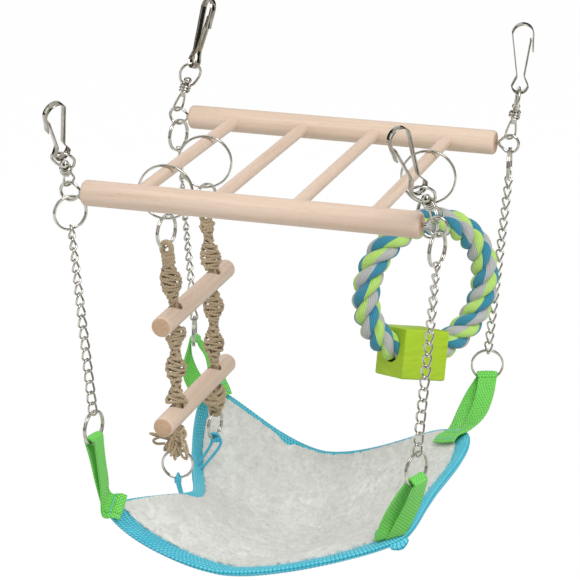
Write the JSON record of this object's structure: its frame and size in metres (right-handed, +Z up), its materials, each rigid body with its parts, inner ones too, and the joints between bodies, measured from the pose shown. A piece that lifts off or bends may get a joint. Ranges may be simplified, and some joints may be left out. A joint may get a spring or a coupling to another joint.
{
  "type": "small animal suspension bridge",
  "caption": "Hanging bridge for small pets: wooden ladder deck on swivel snap hooks, with a plush hammock on chains, a rope ladder and a rope ring toy below it.",
  "frame": {"origin": "At the cage bars that carry the hooks, over the middle of the deck.", "axes": "+X along the rails to the right, +Y from the front rail to the rear rail, +Z up."},
  "size_m": [0.2404, 0.2348, 0.3298],
  "materials": {
    "beech": "satin",
    "nickel": "polished",
    "jute": "matte",
    "plush": "matte",
    "backing": "matte",
    "binding": "matte",
    "webbing": "matte",
    "rope": "matte",
    "paint": "satin"
  },
  "bodies": {
    "deck": {"front_rail": "beech", "rear_rail": "beech", "rung_1": "beech", "rung_2": "beech", "rung_3": "beech", "rung_4": "beech", "screw_eye_front_left": "nickel", "screw_eye_front_right": "nickel", "screw_eye_rear_left": "nickel", "screw_eye_rear_right": "nickel"},
    "link_front_left": {"swivel_link_front_left": "nickel"},
    "bow_front_left": {"swivel_bow_front_left": "nickel"},
    "hook_front_left": {"snap_hook_front_left": "nickel"},
    "gate_front_left": {"snap_gate_front_left": "nickel"},
    "link_front_right": {"swivel_link_front_right": "nickel"},
    "bow_front_right": {"swivel_bow_front_right": "nickel"},
    "hook_front_right": {"snap_hook_front_right": "nickel"},
    "gate_front_right": {"snap_gate_front_right": "nickel"},
    "link_rear_left": {"swivel_link_rear_left": "nickel"},
    "bow_rear_left": {"swivel_bow_rear_left": "nickel"},
    "hook_rear_left": {"snap_hook_rear_left": "nickel"},
    "gate_rear_left": {"snap_gate_rear_left": "nickel"},
    "link_rear_right": {"swivel_link_rear_right": "nickel"},
    "bow_rear_right": {"swivel_bow_rear_right": "nickel"},
    "hook_rear_right": {"snap_hook_rear_right": "nickel"},
    "gate_rear_right": {"snap_gate_rear_right": "nickel"},
    "eye_ring_front_left": {"eye_ring_front_left": "nickel"},
    "chain_front_left": {"chain_front_left": "nickel"},
    "corner_ring_front_left": {"corner_ring_front_left": "nickel"},
    "eye_ring_front_right": {"eye_ring_front_right": "nickel"},
    "chain_front_right": {"chain_front_right": "nickel"},
    "corner_ring_front_right": {"corner_ring_front_right": "nickel"},
    "eye_ring_rear_left": {"eye_ring_rear_left": "nickel"},
    "chain_rear_left": {"chain_rear_left": "nickel"},
    "corner_ring_rear_left": {"corner_ring_rear_left": "nickel"},
    "eye_ring_rear_right": {"eye_ring_rear_right": "nickel"},
    "chain_rear_right": {"chain_rear_right": "nickel"},
    "corner_ring_rear_right": {"corner_ring_rear_right": "nickel"},
    "hammock": {"hammock_plush": "plush", "hammock_backing": "backing", "hammock_binding": "binding", "webbing_loop_front_left": "webbing", "webbing_loop_front_right": "webbing", "webbing_loop_rear_left": "webbing", "webbing_loop_rear_right": "webbing"},
    "ladder_ring_front": {"ladder_ring_front": "nickel"},
    "rope_front": {"ladder_link_ring_front": "nickel", "ladder_rope_front": "jute", "ladder_tie_ring_front": "nickel"},
    "ladder_ring_rear": {"ladder_ring_rear": "nickel"},
    "rope_rear": {"ladder_link_ring_rear": "nickel", "ladder_rope_rear": "jute", "ladder_tie_ring_rear": "nickel"},
    "ladder_dowel_upper": {"ladder_dowel_upper": "beech"},
    "ladder_dowel_lower": {"ladder_dowel_lower": "beech"},
    "toy_ring": {"toy_ring": "nickel"},
    "toy_link": {"toy_link_ring": "nickel"},
    "rope_toy": {"rope_ring": "rope", "wood_block": "paint"}
  },
  "joints": [
    {"name": "link_tilt_front_left", "type": "hinge", "parent": "deck", "child": "link_front_left", "pos_m": [-0.1087, -0.088, -0.0666], "axis": [1, 0, 0], "range_deg": [-45, 12]},
    {"name": "bow_swivel_front_left", "type": "hinge", "parent": "link_front_left", "child": "bow_front_left", "pos_m": [-0.1087, -0.088, -0.0666], "axis": [0.156, -0.6609, 0.734], "continuous": true},
    {"name": "hook_tilt_front_left", "type": "hinge", "parent": "bow_front_left", "child": "hook_front_left", "pos_m": [-0.10374, -0.10902, -0.04326], "axis": [0.9864, 0.1432, -0.0808], "range_deg": [-17, 33]},
    {"name": "gate_front_left", "type": "hinge", "parent": "hook_front_left", "child": "gate_front_left", "pos_m": [-0.10389, -0.11496, -0.03769], "axis": [0.8025, -0.4184, -0.4254], "range_deg": [-14, 0], "stiffness_Nm_per_rad": 0.03},
    {"name": "link_tilt_front_right", "type": "hinge", "parent": "deck", "child": "link_front_right", "pos_m": [0.1087, -0.088, -0.0666], "axis": [1, 0, 0], "range_deg": [-45, 12]},
    {"name": "bow_swivel_front_right", "type": "hinge", "parent": "link_front_right", "child": "bow_front_right", "pos_m": [0.1087, -0.088, -0.0666], "axis": [-0.1794, -0.6709, 0.7195], "continuous": true},
    {"name": "hook_tilt_front_right", "type": "hinge", "parent": "bow_front_right", "child": "hook_front_right", "pos_m": [0.103, -0.10934, -0.04372], "axis": [0.98, -0.0581, 0.1901], "range_deg": [-10, 40]},
    {"name": "gate_front_right", "type": "hinge", "parent": "hook_front_right", "child": "gate_front_right", "pos_m": [0.10011, -0.11435, -0.038], "axis": [0.7741, -0.6151, -0.1494], "range_deg": [-14, 0], "stiffness_Nm_per_rad": 0.03},
    {"name": "link_tilt_rear_left", "type": "hinge", "parent": "deck", "child": "link_rear_left", "pos_m": [-0.1087, 0.088, -0.0666], "axis": [1, 0, 0], "range_deg": [-25, 15]},
    {"name": "bow_swivel_rear_left", "type": "hinge", "parent": "link_rear_left", "child": "bow_rear_left", "pos_m": [-0.1087, 0.088, -0.0666], "axis": [0.3583, -0.0163, 0.9335], "continuous": true},
    {"name": "hook_tilt_rear_left", "type": "hinge", "parent": "bow_rear_left", "child": "hook_rear_left", "pos_m": [-0.09731, 0.08748, -0.03692], "axis": [0.7456, 0.6067, -0.2756], "range_deg": [-12, 38]},
    {"name": "gate_rear_left", "type": "hinge", "parent": "hook_rear_left", "child": "gate_rear_left", "pos_m": [-0.09373, 0.08734, -0.0284], "axis": [0.6759, 0.6847, -0.2727], "range_deg": [-14, 0], "stiffness_Nm_per_rad": 0.03},
    {"name": "link_tilt_rear_right", "type": "hinge", "parent": "deck", "child": "link_rear_right", "pos_m": [0.1087, 0.088, -0.0666], "axis": [1, 0, 0], "range_deg": [-25, 15]},
    {"name": "bow_swivel_rear_right", "type": "hinge", "parent": "link_rear_right", "child": "bow_rear_right", "pos_m": [0.1087, 0.088, -0.0666], "axis": [0.1805, -0.1369, 0.974], "continuous": true},
    {"name": "hook_tilt_rear_right", "type": "hinge", "parent": "bow_rear_right", "child": "hook_rear_right", "pos_m": [0.11444, 0.08365, -0.03563], "axis": [-0.2711, 0.945, 0.1831], "range_deg": [-18, 32]},
    {"name": "gate_rear_right", "type": "hinge", "parent": "hook_rear_right", "child": "gate_rear_right", "pos_m": [0.11714, 0.08284, -0.02681], "axis": [-0.321, 0.9291, 0.1835], "range_deg": [-14, 0], "stiffness_Nm_per_rad": 0.03},
    {"name": "hammock_sway_front_back", "type": "hinge", "parent": "deck", "child": "eye_ring_front_left", "pos_m": [-0.1087, -0.088, -0.0774], "axis": [1, 0, 0], "range_deg": [-4, 4]},
    {"name": "hammock_sway_side", "type": "hinge", "parent": "eye_ring_front_left", "child": "chain_front_left", "pos_m": [-0.1087, -0.088, -0.09485], "axis": [0, 1, 0], "range_deg": [-4, 4]},
    {"name": "corner_ring_swing_front_left", "type": "hinge", "parent": "chain_front_left", "child": "corner_ring_front_left", "pos_m": [-0.099, -0.0863, -0.20785], "axis": [0, 1, 0], "range_deg": [-4.6, 4.6]},
    {"name": "eye_ring_swing_front_right", "type": "hinge", "parent": "deck", "child": "eye_ring_front_right", "pos_m": [0.1087, -0.088, -0.0774], "axis": [1, 0, 0], "range_deg": [-4.2, 4.2]},
    {"name": "chain_swing_front_right", "type": "hinge", "parent": "eye_ring_front_right", "child": "chain_front_right", "pos_m": [0.1087, -0.088, -0.09485], "axis": [0, 1, 0], "range_deg": [-4.2, 4.2]},
    {"name": "corner_ring_swing_front_right", "type": "hinge", "parent": "chain_front_right", "child": "corner_ring_front_right", "pos_m": [0.099, -0.0863, -0.20785], "axis": [0, 1, 0], "range_deg": [-4.6, 4.6]},
    {"name": "eye_ring_swing_rear_left", "type": "hinge", "parent": "deck", "child": "eye_ring_rear_left", "pos_m": [-0.1087, 0.088, -0.0774], "axis": [1, 0, 0], "range_deg": [-4.2, 4.2]},
    {"name": "chain_swing_rear_left", "type": "hinge", "parent": "eye_ring_rear_left", "child": "chain_rear_left", "pos_m": [-0.1087, 0.088, -0.09485], "axis": [0, 1, 0], "range_deg": [-4.2, 4.2]},
    {"name": "corner_ring_swing_rear_left", "type": "hinge", "parent": "chain_rear_left", "child": "corner_ring_rear_left", "pos_m": [-0.099, 0.0863, -0.20785], "axis": [0, 1, 0], "range_deg": [-4.6, 4.6]},
    {"name": "eye_ring_swing_rear_right", "type": "hinge", "parent": "deck", "child": "eye_ring_rear_right", "pos_m": [0.1087, 0.088, -0.0774], "axis": [1, 0, 0], "range_deg": [-4.2, 4.2]},
    {"name": "chain_swing_rear_right", "type": "hinge", "parent": "eye_ring_rear_right", "child": "chain_rear_right", "pos_m": [0.1087, 0.088, -0.09485], "axis": [0, 1, 0], "range_deg": [-4.2, 4.2]},
    {"name": "corner_ring_swing_rear_right", "type": "hinge", "parent": "chain_rear_right", "child": "corner_ring_rear_right", "pos_m": [0.099, 0.0863, -0.20785], "axis": [0, 1, 0], "range_deg": [-4.6, 4.6]},
    {"name": "hammock_hang", "type": "hinge", "parent": "corner_ring_front_left", "child": "hammock", "pos_m": [-0.099, -0.0863, -0.2177], "axis": [1, 0, 0], "range_deg": [-4.2, 4.2]},
    {"name": "ladder_ring_swing_front", "type": "hinge", "parent": "deck", "child": "ladder_ring_front", "pos_m": [-0.0696, -0.037, -0.072], "axis": [0, 1, 0], "range_deg": [-3, 3]},
    {"name": "ladder_rope_swing_front", "type": "hinge", "parent": "ladder_ring_front", "child": "rope_front", "pos_m": [-0.0696, -0.037, -0.1], "axis": [1, 0, 0], "range_deg": [-4, 4]},
    {"name": "ladder_ring_swing_rear", "type": "hinge", "parent": "deck", "child": "ladder_ring_rear", "pos_m": [-0.0696, 0.0305, -0.072], "axis": [0, 1, 0], "range_deg": [-3, 3]},
    {"name": "ladder_rope_swing_rear", "type": "hinge", "parent": "ladder_ring_rear", "child": "rope_rear", "pos_m": [-0.0696, 0.0305, -0.1], "axis": [1, 0, 0], "range_deg": [-4, 4]},
    {"name": "ladder_dowel_level_upper", "type": "hinge", "parent": "rope_front", "child": "ladder_dowel_upper", "pos_m": [-0.065, -0.037, -0.16], "axis": [1, 0, 0], "range_deg": [-4, 4]},
    {"name": "ladder_dowel_level_lower", "type": "hinge", "parent": "rope_front", "child": "ladder_dowel_lower", "pos_m": [-0.065, -0.037, -0.224], "axis": [1, 0, 0], "range_deg": [-4, 4]},
    {"name": "toy_ring_swing", "type": "hinge", "parent": "deck", "child": "toy_ring", "pos_m": [0.0696, 0.041, -0.072], "axis": [0, 1, 0], "range_deg": [-2, 15]},
    {"name": "toy_link_swing", "type": "hinge", "parent": "toy_ring", "child": "toy_link", "pos_m": [0.0696, 0.041, -0.1], "axis": [0.9903, 0.1392, 0], "range_deg": [-12, 3]},
    {"name": "rope_ring_turn", "type": "hinge", "parent": "toy_link", "child": "rope_toy", "pos_m": [0.0696, 0.041, -0.15385], "axis": [-0.7071, 0.7071, 0], "range_deg": [-35, 35]}
  ],
  "couplings": [
    {"joint": "corner_ring_swing_front_left", "follows": "hammock_sway_side", "ratio": -1.098},
    {"joint": "eye_ring_swing_front_right", "follows": "hammock_sway_front_back", "ratio": 1},
    {"joint": "chain_swing_front_right", "follows": "hammock_sway_side", "ratio": 1},
    {"joint": "corner_ring_swing_front_right", "follows": "hammock_sway_side", "ratio": -1.098},
    {"joint": "eye_ring_swing_rear_left", "follows": "hammock_sway_front_back", "ratio": 1},
    {"joint": "chain_swing_rear_left", "follows": "hammock_sway_side", "ratio": 1},
    {"joint": "corner_ring_swing_rear_left", "follows": "hammock_sway_side", "ratio": -1.098},
    {"joint": "eye_ring_swing_rear_right", "follows": "hammock_sway_front_back", "ratio": 1},
    {"joint": "chain_swing_rear_right", "follows": "hammock_sway_side", "ratio": 1},
    {"joint": "corner_ring_swing_rear_right", "follows": "hammock_sway_side", "ratio": -1.098},
    {"joint": "hammock_hang", "follows": "hammock_sway_front_back", "ratio": -1},
    {"joint": "ladder_ring_swing_front", "follows": "hammock_sway_side", "ratio": 0.5874},
    {"joint": "ladder_rope_swing_front", "follows": "hammock_sway_front_back", "ratio": 0.8544},
    {"joint": "ladder_ring_swing_rear", "follows": "hammock_sway_side", "ratio": 0.5874},
    {"joint": "ladder_rope_swing_rear", "follows": "hammock_sway_front_back", "ratio": 0.8544},
    {"joint": "ladder_dowel_level_upper", "follows": "hammock_sway_front_back", "ratio": -0.8544},
    {"joint": "ladder_dowel_level_lower", "follows": "hammock_sway_front_back", "ratio": -0.8544}
  ]
}
